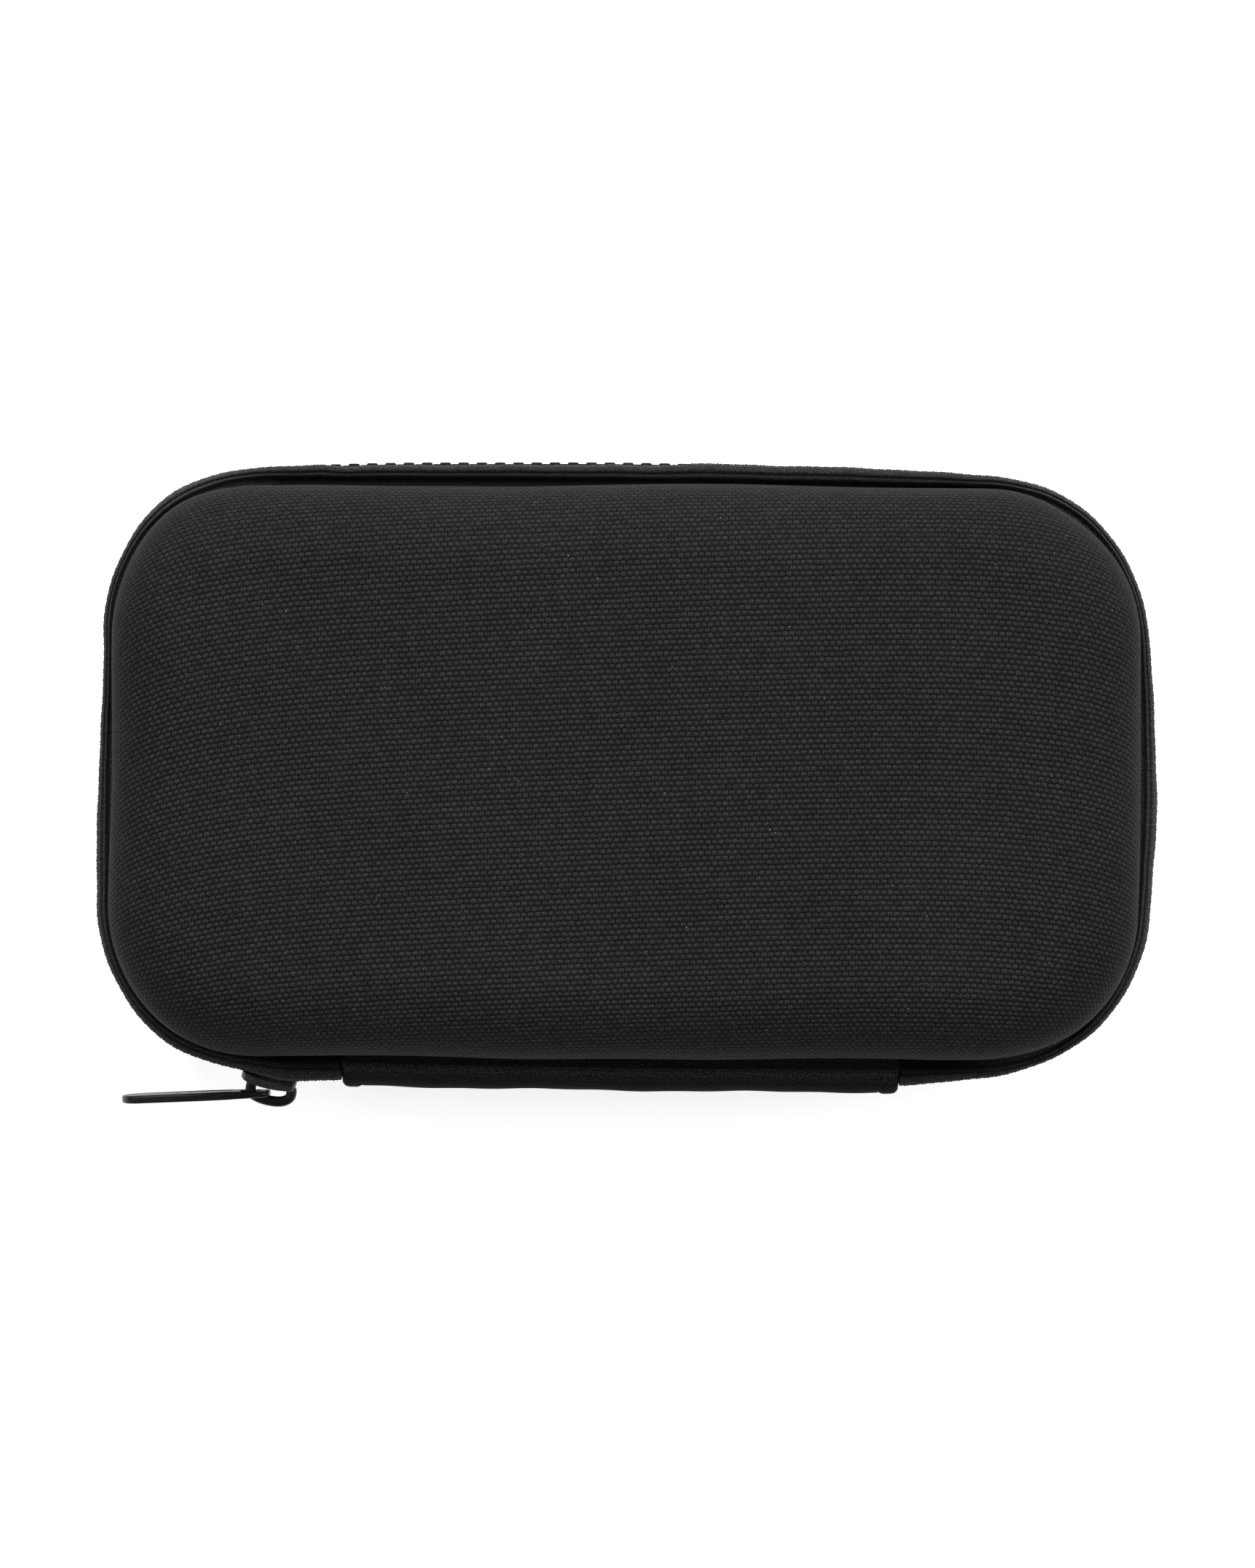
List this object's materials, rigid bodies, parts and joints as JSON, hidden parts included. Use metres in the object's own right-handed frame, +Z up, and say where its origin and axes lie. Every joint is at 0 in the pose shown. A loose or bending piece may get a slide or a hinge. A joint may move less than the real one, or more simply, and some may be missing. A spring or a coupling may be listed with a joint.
{
  "type": "headphone carrying case",
  "caption": "Black hard-shell zip case for headphones: two fabric-covered moulded shells, a fabric hinge, a moulded-tooth zip with metal slider and pull tab, and a mesh pocket in the lid.",
  "frame": {"origin": "centre of the flat underside of the closed case", "axes": "+Z up out of the lid, +X along the case towards the end away from the slider, -Y towards the hinge"},
  "size_m": [0.1626, 0.0995, 0.048],
  "materials": {
    "woven_shell": "plain-weave black polyester, matt",
    "eva_foam": "black EVA foam, matt",
    "lining": "black brushed tricot lining, matt",
    "zip_tape": "black woven polyester tape, matt",
    "zip_plastic": "black acetal, satin",
    "thread": "black polyester thread",
    "hinge_fabric": "black ribbed fabric, matt",
    "slider_metal": "black gloss enamel on zinc casting",
    "mesh": "black knitted mesh",
    "elastic": "black woven elastic, matt"
  },
  "bodies": {
    "base": {"base_outer_fabric": "woven_shell", "base_foam_shell": "eva_foam", "base_lining": "lining", "base_zip_tape": "zip_tape", "base_binding": "zip_tape", "base_seam_stitches": "thread", "base_zip_teeth": "zip_plastic", "zip_captured_teeth": "zip_plastic", "zip_top_stops": "zip_plastic", "zip_bottom_stop": "zip_plastic", "hinge_band": "hinge_fabric", "hinge_facing": "lining"},
    "slider": {"slider_body": "slider_metal"},
    "pull_tab_body": {"pull_tab": "slider_metal"},
    "lid": {"lid_outer_fabric": "woven_shell", "lid_foam_shell": "eva_foam", "lid_lining": "lining", "lid_zip_tape": "zip_tape", "lid_binding": "zip_tape", "lid_seam_stitches": "thread", "lid_zip_teeth": "zip_plastic", "mesh_pocket": "mesh", "pocket_elastic_hem": "elastic", "pocket_hem_stitches": "thread"}
  },
  "joints": [
    {"name": "lid_hinge", "type": "hinge", "parent": "base", "child": "lid", "pos_m": [0, -0.0475, 0.024], "axis": [1, 0, 0], "range_deg": [0, 180], "deforming": ["hinge_band", "hinge_facing", "lid_zip_tape"]},
    {"name": "slider_travel", "type": "hinge", "parent": "base", "child": "slider", "pos_m": [-0.0542, -0.02003, 0.024], "axis": [0, 0, -1], "range_deg": [0, 80]},
    {"name": "pull_tab_swing", "type": "hinge", "parent": "slider", "child": "pull_tab_body", "pos_m": [-0.05465, -0.0501, 0.024], "axis": [0, 0, 1], "range_deg": [0, 140]}
  ]
}
